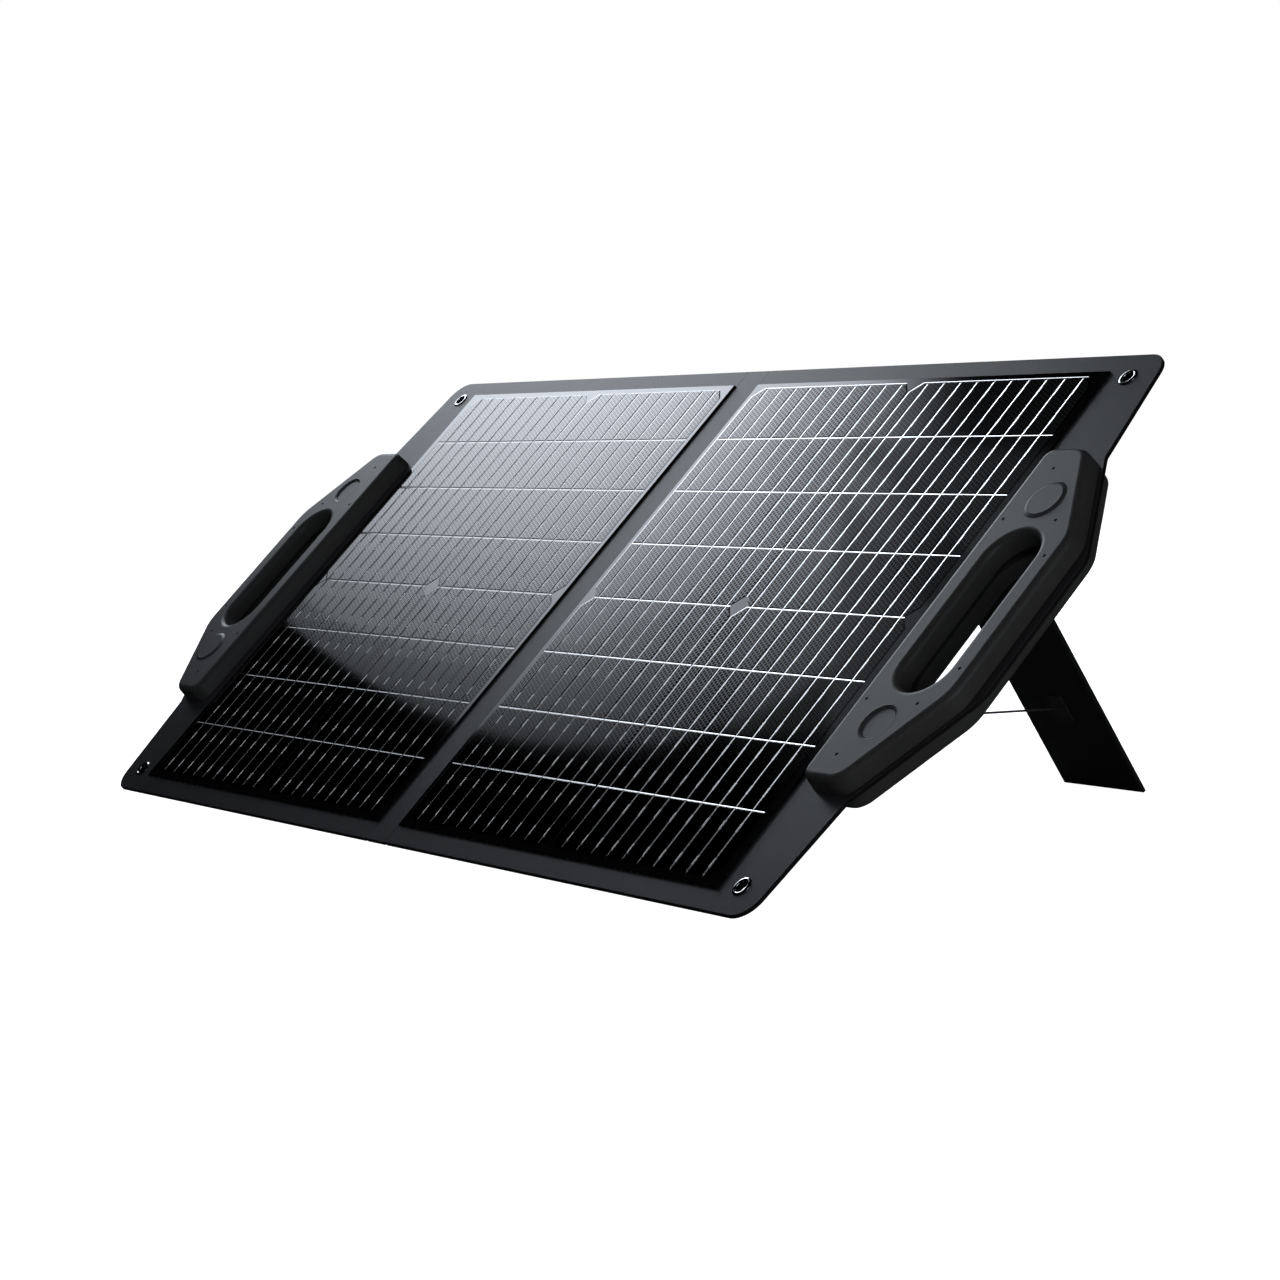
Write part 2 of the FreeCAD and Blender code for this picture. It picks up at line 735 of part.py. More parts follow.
def print_places(shift):
    """Joint lines and mount points in the row frame, for the record."""
    turn = FreeCAD.Rotation(Vector(1, 0, 0), tilt)
    places = {"crease": (crease_x, mid_s, 0), "stand_pivot": (stand_x[0], pivot_s, pivot_n),
              "slot": (slot_x, mid_s, back_n / 2),
              "eyelet_low": (*eyelet_spots[0], back_n / 2), "eyelet_high": (*eyelet_spots[1], back_n / 2),
              "socket": (socket_x, socket_s + socket_len / 2, socket_n),
              "tether_leaf": (stand_mid_x, *tether_ends()[0]),
              "tether_stand": (stand_mid_x, *tether_ends()[1]), "panel_origin": (0, 0, 0)}
    for name, place in places.items():
        moved = turn.multVec(Vector(*place)) + shift
        print(name, [round(v, 3) for v in moved])
    print("stand length", round(stand_len, 2))
    low, high = tether_ends()
    print("tether length", round(math.hypot(high[0] - low[0], high[1] - low[1]), 2))


for leaf in ("left", "right"):
    add_leaf(leaf)
add_centre()
add_junction_box()
origin = origin_shift()
for name, shapes in nodes.items():
    made = [in_row_frame(shape, origin) for shape in shapes]
    whole = made[0] if len(made) == 1 else Part.makeCompound(made)
    whole.exportStep("parts/" + name + ".step")
    solids = len(whole.Solids)
    if solids < len(made) or not whole.isValid():
        print("CHECK", name, solids, "solids, valid", whole.isValid())
print_places(origin)
print(len(nodes), "nodes")
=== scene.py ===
import json
import math
import bpy
from mathutils import Matrix, Vector


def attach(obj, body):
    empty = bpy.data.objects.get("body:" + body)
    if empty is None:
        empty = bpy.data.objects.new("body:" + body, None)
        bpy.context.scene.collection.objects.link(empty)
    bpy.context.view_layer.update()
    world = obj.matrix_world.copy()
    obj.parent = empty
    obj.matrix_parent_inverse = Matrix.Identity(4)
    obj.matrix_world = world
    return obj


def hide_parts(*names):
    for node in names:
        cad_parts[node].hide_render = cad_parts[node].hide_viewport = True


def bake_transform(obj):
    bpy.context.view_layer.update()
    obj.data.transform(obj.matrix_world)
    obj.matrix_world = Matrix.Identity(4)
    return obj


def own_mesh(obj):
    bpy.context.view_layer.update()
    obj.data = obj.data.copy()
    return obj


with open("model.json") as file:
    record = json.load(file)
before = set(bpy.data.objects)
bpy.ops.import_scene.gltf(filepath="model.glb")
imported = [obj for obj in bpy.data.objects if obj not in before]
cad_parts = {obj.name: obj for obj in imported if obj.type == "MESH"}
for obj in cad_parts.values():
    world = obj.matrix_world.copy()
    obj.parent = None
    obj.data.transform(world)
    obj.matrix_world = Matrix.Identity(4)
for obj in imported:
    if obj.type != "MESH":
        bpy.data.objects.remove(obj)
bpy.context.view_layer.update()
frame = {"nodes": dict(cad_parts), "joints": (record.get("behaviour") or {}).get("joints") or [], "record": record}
MM = 0.001

# ---------------------------------------------------------------- the panel's own frame
joints = {joint["name"]: joint for joint in frame["joints"]}
crease_at = Vector(joints["right_crease"]["pos_m"])
UP = -Vector(joints["right_crease"]["axis"])            # up the panel, in the row frame
ACROSS = Vector((1, 0, 0))
OUT = ACROSS.cross(UP)                                  # out of the lit face
TILT = math.atan2(UP.z, UP.y)
PANEL_H = 462.0
MID = PANEL_H / 2
BACK = -3.0                                             # back cloth's outer face
CREASE = crease_at.x / MM                               # x of the right crease


def at(x, s, n):
    """A point of the panel's frame, in mm, as a point of the row frame, in metres."""
    return crease_at + (ACROSS * (x - CREASE) + UP * (s - MID) + OUT * n) * MM


# ---------------------------------------------------------------- camera and room
def add_camera():
    """Seen from the right and just above, a little rolled."""
    camera = bpy.data.objects.new("camera", bpy.data.cameras.new("camera"))
    bpy.context.scene.collection.objects.link(camera)
    place = Vector((1.8395, -1.2313, 0.3181))
    target = Vector((0.1771, -0.1339, 0.1392))
    roll = math.radians(-2.82)
    forward = (target - place).normalized()
    level = forward.cross(Vector((0, 0, 1))).normalized()
    right = Matrix.Rotation(-roll, 3, forward) @ level
    up = right.cross(forward)
    turn = Matrix((right, up, -forward)).transposed().to_4x4()
    camera.matrix_world = Matrix.Translation(place) @ turn
    camera.data.sensor_width = 36
    camera.data.lens = 85.9
    camera.data.clip_end = 50
    bpy.context.scene.camera = camera


add_camera()


# ---------------------------------------------------------------- node material helpers
class Paint:
    """Builds one node material; each method returns the socket it made."""

    def __init__(self, name):
        self.material = bpy.data.materials.new(name)
        self.material.use_nodes = True
        self.tree = self.material.node_tree
        self.shader = self.tree.nodes["Principled BSDF"]

    def node(self, kind, settings=None, **inputs):
        """A new node; inputs go by name, or by place as _0, _1 and so on."""
        made = self.tree.nodes.new(kind)
        for key, value in (settings or {}).items():
            setattr(made, key, value)
        for key, value in inputs.items():
            self.plug(made.inputs[int(key[1:])] if key[1:].isdigit() else made.inputs[key], value)
        return made

    def plug(self, socket, value):
        if isinstance(value, bpy.types.NodeSocket):
            self.tree.links.new(value, socket)
        else:
            socket.default_value = value

    def set(self, **inputs):
        """Sets or links the shader's sockets by short names."""
        names = {"color": "Base Color", "rough": "Roughness", "metal": "Metallic", "normal": "Normal",
                 "specular": "Specular IOR Level"}
        for key, value in inputs.items():
            self.plug(self.shader.inputs[names[key]], value)
        return self.material

    def place(self, flat=False):
        """Coordinates in metres; flat lines them up with the panel's own x, s and n."""
        where = self.node("ShaderNodeTexCoord").outputs["Object"]
        if not flat:
            return where
        return self.node("ShaderNodeMapping", None, _0=where, _2=(-TILT, 0, 0)).outputs[0]

    def noise(self, where, scale, detail=3):
        return self.node("ShaderNodeTexNoise", None, Vector=where, Scale=scale, Detail=detail,
                         Roughness=0.5).outputs["Fac"]

    def math(self, operation, a, b=0.0):
        return self.node("ShaderNodeMath", {"operation": operation}, _0=a, _1=b).outputs[0]

    def ramp(self, value, low, high, out_low=0.0, out_high=1.0):
        """Smooth step between low and high."""
        made = self.node("ShaderNodeMapRange", {"interpolation_type": "SMOOTHSTEP"},
                         _0=value, _1=low, _2=high, _3=out_low, _4=out_high)
        return made.outputs[0]

    def mix(self, share, a, b):
        """Colour a where share is 0, and b where it is 1."""
        made = self.node("ShaderNodeMix", {"data_type": "RGBA"}, _0=share)
        self.plug(made.inputs[6], a)
        self.plug(made.inputs[7], b)
        return made.outputs[2]

    def axes(self, where):
        made = self.node("ShaderNodeSeparateXYZ", None, _0=where)
        return made.outputs[0], made.outputs[1], made.outputs[2]

    def bump(self, height, strength, distance):
        return self.node("ShaderNodeBump", None, Height=height, Strength=strength, Distance=distance).outputs[0]

    def lean(self, normal, share, way):
        """The normal tipped by a vector of the object's own frame."""
        spaces = {"vector_type": "VECTOR", "convert_from": "OBJECT", "convert_to": "WORLD"}
        turned = self.node("ShaderNodeVectorTransform", spaces, _0=tuple(way))
        part = self.node("ShaderNodeVectorMath", {"operation": "SCALE"}, _0=turned.outputs[0])
        self.plug(part.inputs["Scale"], share)
        total = self.node("ShaderNodeVectorMath", {"operation": "ADD"}, _0=normal, _1=part.outputs[0])
        return self.node("ShaderNodeVectorMath", {"operation": "NORMALIZE"}, _0=total.outputs[0]).outputs[0]


def grey(value, blue=1.0):
    """Grey colour, with its blue times the given number."""
    return (value, value, value * blue, 1)


# ---------------------------------------------------------------- materials
EMBOSS = (3.01, 3.08)                                    # pitch of the pressed pattern, across and up, in mm
PIT_EDGE = (0.36, 0.44)                                  # a pit's wall, as shares of the pitch from its middle
PIT_CURVE = 0.045                                        # slope of the pits' floors, per metre from where
PIT_MIDDLE = (-0.48, 0.552)                              # they would be level, across and up, in metres
RIB_CLIMB, CROSS_CLIMB = 0.45, 0.3                       # how steeply the cloth's ribs and threads run
CROSS_COUNT = 1.7                                        # threads per rib


def moulded(name, value, blue, rough):
    """Soft-touch moulding: fine spark-eroded grain and slight cloudiness."""
    p = Paint(name)
    where = p.place()
    grain = p.noise(where, 2600, 2)
    cloud = p.noise(where, 18, 4)
    color = p.mix(p.ramp(cloud, 0.35, 0.7), grey(value * 0.92, blue), grey(value * 1.08, blue))
    p.set(color=color, rough=p.ramp(grain, 0.3, 0.7, rough - 0.04, rough + 0.05),
          normal=p.bump(grain, 0.25, 0.00006), specular=0.36)
    return p.material


def woven(name, value, blue, pitch, rough, specular=0.5, flat=True):
    """Close twill: fine ribs that climb to the right, crossed by finer threads."""
    p = Paint(name)
    x, s, _ = p.axes(p.place(flat))
    turn = 2 * math.pi / (pitch * MM)
    over = p.math("SUBTRACT", x, p.math("MULTIPLY", s, RIB_CLIMB))
    up = p.math("ADD", s, p.math("MULTIPLY", x, CROSS_CLIMB))
    rib = p.math("SINE", p.math("MULTIPLY", over, turn))
    cross = p.math("SINE", p.math("MULTIPLY", up, turn * CROSS_COUNT))
    thread = p.ramp(p.math("ADD", p.math("MULTIPLY", rib, 0.7), p.math("MULTIPLY", cross, 0.3)), -1, 1)
    cloud = p.noise(p.place(), 25)
    shade = p.math("ADD", p.math("MULTIPLY", thread, 0.75), p.math("MULTIPLY", cloud, 0.25))
    p.set(color=p.mix(shade, grey(value * 0.65, blue), grey(value * 1.25, blue)),
          rough=p.ramp(thread, 0, 1, rough + 0.06, rough - 0.04), normal=p.bump(thread, 0.5, 0.00005),
          specular=specular)
    return p.material


def metal(name, value, rough):
    """Bare or blackened metal with a fine speckle."""
    p = Paint(name)
    speck = p.noise(p.place(), 900)
    p.set(color=p.mix(speck, grey(value * 0.92), grey(value)), metal=1.0,
          rough=p.ramp(speck, 0.3, 0.7, rough * 0.8, rough * 1.3))
    return p.material


def plain(name, value, rough, specular=0.4, tint=None):
    """Small hidden or simple parts: faint mottling only."""
    p = Paint(name)
    mottle = p.noise(p.place(), 300)
    base = tint or (value, value, value)
    low = (*[c * 0.85 for c in base], 1)
    high = (*[c * 1.1 for c in base], 1)
    p.set(color=p.mix(mottle, low, high), rough=p.ramp(mottle, 0.3, 0.7, rough - 0.05, rough + 0.05),
          specular=specular, normal=p.bump(mottle, 0.1, 0.00005))
    return p.material


def film(name, embossed):
    """Clear film over black: smooth, or with a fine net round staggered pits, each floor a little off level."""
    p = Paint(name)
    where = p.place(True)
    ripple = p.noise(where, 7, 2)
    normal = p.bump(ripple, 0.1, 0.0005)
    if embossed:
        x, s, _ = p.axes(where)
        across, up = p.math("DIVIDE", x, EMBOSS[0] * MM), p.math("DIVIDE", s, EMBOSS[1] * MM)
        shift = p.math("MULTIPLY", p.math("FLOORED_MODULO", p.math("FLOOR", across), 2.0), 0.5)
        u = p.math("SUBTRACT", p.math("FRACT", across), 0.5)
        v = p.math("SUBTRACT", p.math("FRACT", p.math("ADD", up, shift)), 0.5)
        away = p.math("SQRT", p.math("ADD", p.math("MULTIPLY", u, u), p.math("MULTIPLY", v, v)))
        pit = p.ramp(away, *PIT_EDGE, 1.0, 0.0)
        for far, middle, way in ((x, PIT_MIDDLE[0], ACROSS), (s, PIT_MIDDLE[1], UP)):
            slope = p.math("MULTIPLY", p.math("SUBTRACT", far, middle), PIT_CURVE)
            normal = p.lean(normal, p.math("MULTIPLY", slope, pit), way)
        # painted shade in the pits: their floors get a darker mirror colour than the net between them
        p.set(color=p.mix(pit, grey(0.075), grey(0.02)), metal=1.0, rough=0.05, normal=normal)
    else:
        p.set(color=p.mix(ripple, grey(0.003, 1.3), grey(0.0015, 1.3)), rough=0.05, specular=0.5,
              normal=normal)
    return p.material


def satin_strip(name, value):
    """Tinned ribbon of the given grey, with a fine speck; the pads' much lighter copy is a painted highlight."""
    p = Paint(name)
    speck = p.noise(p.place(), 500)
    p.set(color=p.mix(speck, grey(value * 0.85), grey(value)), metal=0.1,
          rough=p.ramp(speck, 0.3, 0.7, 0.4, 0.5), specular=0.3)
    return p.material


def painted_glint_strip(name, way, value=0.9):
    """Near-white metal strip whose mirror face leans the given way: a painted highlight along a pressed line, lit
    by the softboxes.
    """
    p = Paint(name)
    speck = p.noise(p.place(), 700)
    facing = p.node("ShaderNodeNewGeometry").outputs["Normal"]
    p.set(color=p.mix(speck, grey(value * 0.91), grey(value)), metal=0.94,
          rough=p.ramp(speck, 0.3, 0.7, 0.06, 0.1), normal=p.lean(facing, 1.0, way))
    return p.material


looks = {
    "core_board": plain("core_board", 0.004, 0.6),
    "front_cloth": woven("front_cloth", 0.018, 1.1, 1.5, 0.34, 0.14),
    "back_cloth": woven("back_cloth", 0.02, 1.05, 1.5, 0.6),
    "backsheet": plain("backsheet", 0.002, 0.25),
    "handle": moulded("handle", 0.0235, 1.02, 0.42),
    "screws": metal("screws", 0.08, 0.4),
    "magnets": metal("magnets", 0.6, 0.3),
    "eyelets": metal("eyelets", 0.85, 0.07),
    "rivets": metal("rivets", 0.05, 0.35),
    "webbing": woven("webbing", 0.015, 1.0, 0.8, 0.7),
    "tether": woven("tether", 0.02, 1.1, 0.5, 0.6, flat=False),
    "stand": plain("stand", 0.008, 0.5),
    "stand_skin": woven("stand_skin", 0.009, 1.0, 0.8, 0.6),
    "cells": film("cells", True),
    "ribbons": satin_strip("ribbons", 0.24),
    "front_film": film("front_film", False),
    "box_plastic": moulded("box_plastic", 0.03, 1.0, 0.5),
    "gasket": plain("gasket", 0.03, 0.7),
    "circuit_board": plain("circuit_board", 0.02, 0.3, 0.5, (0.01, 0.07, 0.03)),
    "diodes": plain("diodes", 0.02, 0.35),
    "socket": plain("socket", 0.01, 0.25),
}
LEVEL_LEAN = ACROSS * -0.16 + UP * 0.1
# painted highlight: the pads get a much lighter copy of the ribbons' material
PAD_SATIN_PAINTED_HIGHLIGHT = satin_strip("pad_satin_painted_highlight", 0.8)
# painted highlights: near-white metal strips along the pressed lines
UPRIGHT_PAINTED_GLINT = painted_glint_strip("upright_painted_glint", ACROSS * -0.2 - UP * 0.08)
LEVEL_PAINTED_GLINT = {"left": painted_glint_strip("left_level_painted_glint", LEVEL_LEAN, 0.3),       # painted shade: a darker copy for the left leaf
               "right": painted_glint_strip("right_level_painted_glint", LEVEL_LEAN)}


def dress_cad():
    """Gives every CAD node the material of its slot."""
    for part in frame["record"]["subparts"]:
        node = frame["nodes"][part["node"]]
        node.data.materials.clear()
        node.data.materials.append(looks[part["material_slot"]])


dress_cad()


# ---------------------------------------------------------------- mesh helpers
def new_piece(name, points, faces, material, body, side="right", smooth=False):
    """A mesh from points in the right leaf's panel frame, mirrored for the left leaf."""
    mesh = bpy.data.meshes.new(name)
    flip = -1 if side == "left" else 1
    mesh.from_pydata([at(flip * x, s, n) for x, s, n in points], [], faces)
    if flip < 0:
        mesh.flip_normals()
    mesh.materials.append(material)
    if smooth:
        mesh.shade_smooth()
    mesh.validate()
    made = bpy.data.objects.new(name, mesh)
    bpy.context.scene.collection.objects.link(made)
    if body:
        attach(made, body)
    return made


class Shape:
    """Collects points and faces."""

    def __init__(self):
        self.points, self.faces = [], []

    def add(self, points, faces):
        base = len(self.points)
        self.points += points
        self.faces += [tuple(base + i for i in face) for face in faces]

    def prism(self, low, high):
        """Sloping sides between two outlines with the same number of corners, and a lid on the upper."""
        count = len(low)
        sides = [(i, (i + 1) % count, count + (i + 1) % count, count + i) for i in range(count)]
        self.add(list(low) + list(high), sides + [tuple(range(count, 2 * count))])

    def band(self, path, width, n):
        """Flat strip of even width along a path in x and s."""
        points = []
        for i, (x, s) in enumerate(path):
            before, after = path[max(i - 1, 0)], path[min(i + 1, len(path) - 1)]
            along = Vector((after[0] - before[0], after[1] - before[1])).normalized()
            across = Vector((-along.y, along.x)) * width / 2
            points += [(x + across.x, s + across.y, n), (x - across.x, s - across.y, n)]
        quads = [(2 * i, 2 * i + 1, 2 * i + 3, 2 * i + 2) for i in range(len(path) - 1)]
        self.add(points, quads)

    def lathe(self, x, s, profile, steps):
        """Closed profile of radii and depths, turned about an axis square to the panel."""
        count = len(profile)
        points, faces = [], []
        for i in range(steps):
            turn = 2 * math.pi * i / steps
            points += [(x + r * math.cos(turn), s + r * math.sin(turn), n) for r, n in profile]
            a, b = i * count, (i + 1) % steps * count
            faces += [(a + j, a + (j + 1) % count, b + (j + 1) % count, b + j) for j in range(count)]
        self.add(points, faces)


def inset(outline, across, up=None):
    """Outline in x and s, anticlockwise, with its upright sides moved in by across and its level ones by up."""
    up = across if up is None else up
    lines = []
    for i, (x, s) in enumerate(outline):
        after = outline[(i + 1) % len(outline)]
        along = Vector((after[0] - x, after[1] - s)).normalized()
        normal = Vector((-along.y, along.x))
        width = across * abs(along.y) + up * abs(along.x)
        lines.append((normal, normal.dot(Vector((x, s))) + width))
    made = []
    for i, (x, s) in enumerate(outline):
        (one, reach_one), (two, reach_two) = lines[i - 1], lines[i]
        turn = one.x * two.y - one.y * two.x
        if abs(turn) < 0.05:
            made.append((x + one.x * (reach_one - one.dot(Vector((x, s)))),
                         s + one.y * (reach_one - one.dot(Vector((x, s))))))
        else:
            made.append(((reach_one * two.y - reach_two * one.y) / turn,
                         (one.x * reach_two - two.x * reach_one) / turn))
    return made


# ---------------------------------------------------------------- laminate
LAM_X, LAM_W, LAM_S, LAM_H = 14.8, 379.0, 16.0, 430.0    # from the spine's middle and the panel's foot
MARGIN = (5.0, 5.6)                                      # from its edge to the cells: across, up
CELL_W, COLUMN_GAP, STRIP_H, STRIP_GAP, ROWS = 182.4, 1.6, 51.7, 0.8, 8
STRIPS = ROWS // 2                                       # strips cut from one wafer
CHAMFER = 8.5
WIRES, WIRE_PITCH = 10, 17.35
WIRE_W, WIRE_RISE, WIRE_STOP = 0.4, 0.04, 1.5            # a wire stops short of the outer strips' edges
PAD_H, PAD_W, PAD_RISE = 7.0, 0.9, 0.06
PAD_PLACES = (0.05, 0.182, 0.315, 0.445, 0.547, 0.677, 0.811, 0.94)     # up a wafer, as shares of its height
LAM_FOOT, FILM_LOW, FILM_HIGH = 1.0, 1.5, 1.64           # depths of the film: its foot, its flat and its tiles
FILM_EDGE = 0.5                                          # slope along the laminate's edge
SLOPE_W = (0.9, 0.7)                                     # slopes round a raised tile: upright, level sides
WIRE_ROOM, PAD_ROOM = 0.5, 0.9                           # flat each side of a wire, and of a pad
EDGE_W, CROSS_W, RIM_W = 0.48, 0.42, 0.33                # painted highlight strips: by a wire, between rows, by a wafer
EDGE_N = FILM_LOW + 0.02
CROSS_DROP, CROSS_STOP = 0.15, 0.5                       # a cross line lies low in its gap, and stops short


def column_start(column):
    return LAM_X + MARGIN[0] + column * (CELL_W + COLUMN_GAP)


def strip_s(row):
    return LAM_S + MARGIN[1] + row * (STRIP_H + STRIP_GAP)


def wire_x(column, i):
    return column_start(column) + (CELL_W - (WIRES - 1) * WIRE_PITCH) / 2 + i * WIRE_PITCH


def pad_middles(row):
    """Pads that lie on one strip, up the panel."""
    wafer = STRIPS * (STRIP_H + STRIP_GAP)
    base = strip_s(STRIPS * (row // STRIPS))
    return [base + place * wafer for place in PAD_PLACES
            if strip_s(row) <= base + place * wafer < strip_s(row) + STRIP_H]


def groove_side(x, sign, low, high, pads):
    """Side of a tile beside a wire, from low to high, with a step out of the way of each pad."""
    near, far = x + sign * WIRE_ROOM, x + sign * PAD_ROOM
    step = PAD_ROOM - WIRE_ROOM
    side = [(near, low)]
    for middle in pads:
        side += [(near, middle - PAD_H / 2 - step), (far, middle - PAD_H / 2),
                 (far, middle + PAD_H / 2), (near, middle + PAD_H / 2 + step)]
    return side + [(near, high)]


def tile_outline(column, i, row):
    """Raised part of a strip between two wires; i counts from the column's inner side."""
    low, high = strip_s(row), strip_s(row) + STRIP_H
    pads = pad_middles(row)
    cut_low = CHAMFER if row % STRIPS == 0 else 0
    cut_high = CHAMFER if row % STRIPS == STRIPS - 1 else 0
    left_edge, right_edge = column_start(column), column_start(column) + CELL_W
    if i == WIRES:
        right = [(right_edge - cut_low, low)] * bool(cut_low) + [(right_edge, low + cut_low)]
        right += [(right_edge, high - cut_high)] + [(right_edge - cut_high, high)] * bool(cut_high)
    else:
        right = groove_side(wire_x(column, i), -1, low, high, pads)
    if i == 0:
        left = [(left_edge + cut_high, high)] * bool(cut_high) + [(left_edge, high - cut_high)]
        left += [(left_edge, low + cut_low)] + [(left_edge + cut_low, low)] * bool(cut_low)
    else:
        left = groove_side(wire_x(column, i - 1), 1, low, high, pads)[::-1]
    return right + left


def add_laminate(side):
    """Film over the margins, raised tiles over the cells, wires, pads and the painted highlight strips along the
    pressed edges.
    """
    body = side + "_leaf"
    edge = Shape()
    x0, x1, s0, s1 = LAM_X, LAM_X + LAM_W, LAM_S, LAM_S + LAM_H
    corners = [(x0, s0), (x1, s0), (x1, s1), (x0, s1)]
    foot = [(x, s, LAM_FOOT) for x, s in corners]
    shoulder = [(x, s, FILM_LOW - FILM_EDGE / 2) for x, s in corners]
    lid = [(x, s, FILM_LOW) for x, s in inset(corners, FILM_EDGE)]
    edge.add(foot + shoulder, [(i, (i + 1) % 4, 4 + (i + 1) % 4, 4 + i) for i in range(4)])
    edge.prism(shoulder, lid)
    margin = new_piece(side + "_laminate_margin", edge.points, edge.faces, looks["front_film"], body, side)
    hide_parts(side + "_front_film")
    tiles = Shape()
    for column in (0, 1):
        for row in range(ROWS):
            for i in range(WIRES + 1):
                outline = tile_outline(column, i, row)
                tiles.prism([(x, s, FILM_LOW) for x, s in outline],
                            [(x, s, FILM_HIGH) for x, s in inset(outline, *SLOPE_W)])
    cells = new_piece(side + "_cells_under_film", tiles.points, tiles.faces, looks["cells"], body, side)
    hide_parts(side + "_cells")
    wires, pads, upright, level = Shape(), Shape(), Shape(), Shape()
    way = -1 if side == "left" else 1                    # the painted highlight strips are on the side away from the light
    for column in (0, 1):
        for i in range(WIRES):
            add_wire(wires, pads, wire_x(column, i))
            add_wire_painted_glint(upright, wire_x(column, i), way)
        add_wafer_painted_glints(upright, level, column, way)
    cell_left, cell_right = column_start(0), column_start(1) + CELL_W
    # painted highlight strips along the gaps between rows
    for row in range(1, ROWS):
        short = CHAMFER if row == STRIPS else CROSS_STOP
        middle = strip_s(row) - STRIP_GAP / 2 - CROSS_DROP
        level.band([(cell_left + short, middle), (cell_left + CELL_W - short, middle)], CROSS_W, EDGE_N)
        level.band([(cell_right - CELL_W + short, middle), (cell_right - short, middle)], CROSS_W, EDGE_N)
    pieces = (("_wires", wires, looks["ribbons"]), ("_cross_wires_painted_glint", level, LEVEL_PAINTED_GLINT[side]),
              ("_wire_painted_glints", upright, UPRIGHT_PAINTED_GLINT), ("_pads", pads, PAD_SATIN_PAINTED_HIGHLIGHT))
    made = [new_piece(side + name, shape.points, shape.faces, material, body, side)
            for name, shape, material in pieces]
    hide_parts(side + "_ribbons")
    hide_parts(side + "_cross_ribbons")


def add_ridge(shape, x, low, high, half, rise):
    """Low flat-topped ridge up the leaf."""
    low_n, high_n = FILM_LOW + 0.01, FILM_LOW + rise
    points = [(x + way * share * half, s, n) for s in (low, high)
              for way, share, n in ((-1, 1, low_n), (-1, 0.7, high_n), (1, 0.7, high_n), (1, 1, low_n))]
    shape.add(points, [(j, j + 1, j + 5, j + 4) for j in range(3)] + [(3, 2, 1, 0), (4, 5, 6, 7)])


def add_wire(wires, pads, x):
    """Thin wire up the leaf, with a soldered pad every few centimetres."""
    add_ridge(wires, x, strip_s(0) + WIRE_STOP, strip_s(ROWS - 1) + STRIP_H - WIRE_STOP, WIRE_W / 2, WIRE_RISE)
    for row in range(ROWS):
        for middle in pad_middles(row):
            add_ridge(pads, x, middle - PAD_H / 2, middle + PAD_H / 2, PAD_W / 2, PAD_RISE)


def add_wire_painted_glint(shape, x, way):
    """Painted highlight strip beside a wire; it steps round every pad."""
    near, far = x + way * (WIRE_W / 2 + EDGE_W / 2), x + way * (PAD_W / 2 + EDGE_W / 2)
    path = [(near, strip_s(0) + WIRE_STOP)]
    for row in range(ROWS):
        for middle in pad_middles(row):
            path += [(near, middle - PAD_H / 2 - 0.8), (far, middle - PAD_H / 2 - 0.1),
                     (far, middle + PAD_H / 2 + 0.1), (near, middle + PAD_H / 2 + 0.8)]
    path.append((near, strip_s(ROWS - 1) + STRIP_H - WIRE_STOP))
    shape.band(path, EDGE_W, EDGE_N)


def add_wafer_painted_glints(upright, level, column, way):
    """Painted highlight strips outside the edge and cut corner of each wafer, and along the top of the column."""
    near = column_start(column) if way > 0 else column_start(column) + CELL_W
    edge, cut = near - way * RIM_W, near + way * CHAMFER
    for row in (0, STRIPS):
        low, high = strip_s(row), strip_s(row + STRIPS - 1) + STRIP_H
        upright.band([(edge, low + CHAMFER), (edge, high - CHAMFER), (cut, high + RIM_W)], RIM_W, EDGE_N)
    top = strip_s(ROWS - 1) + STRIP_H + RIM_W
    level.band([(cut, top), (near + way * (CELL_W - CHAMFER), top)], RIM_W, EDGE_N)


for leaf in ("left", "right"):
    add_laminate(leaf)


# ---------------------------------------------------------------- eyelets
EYELET = (413.0, 21.0)
EYELET_PROFILE = ((4.25, -4.0), (4.25, -0.3), (4.3, 0.2), (4.5, 0.6), (4.9, 0.85), (5.4, 0.9), (6.0, 0.82),
                  (6.5, 0.6), (6.85, 0.3), (7.0, 0.02), (6.6, 0.0), (4.95, 0.0), (4.95, -3.9), (5.5, -3.85),
                  (5.85, -4.0), (5.85, -4.15), (5.5, -4.3), (4.6, -4.3))


def add_eyelets(side):
    """Rolled eyelets: a domed flange, a barrel through the leaf and a rolled end behind."""
    body = side + "_leaf"
    shape = Shape()
    for s in (EYELET[1], PANEL_H - EYELET[1]):
        shape.lathe(EYELET[0], s, EYELET_PROFILE, 64)
    made = new_piece(side + "_rolled_eyelets", shape.points, shape.faces, looks["eyelets"], body, side, True)
    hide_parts(side + "_eyelets")


PAD_SPOT = (443.0, 90.3)                                 # x, and distance from the middle of the height
BOSS_R, RECESS_R = 13.2, 13.7
RIM_OUT, RIM_IN = 2.1, 1.8                               # widths of the sloping rims of the boss and the recess
FACE_N, BOSS_H, RECESS_H = 13.0, 1.1, 1.4


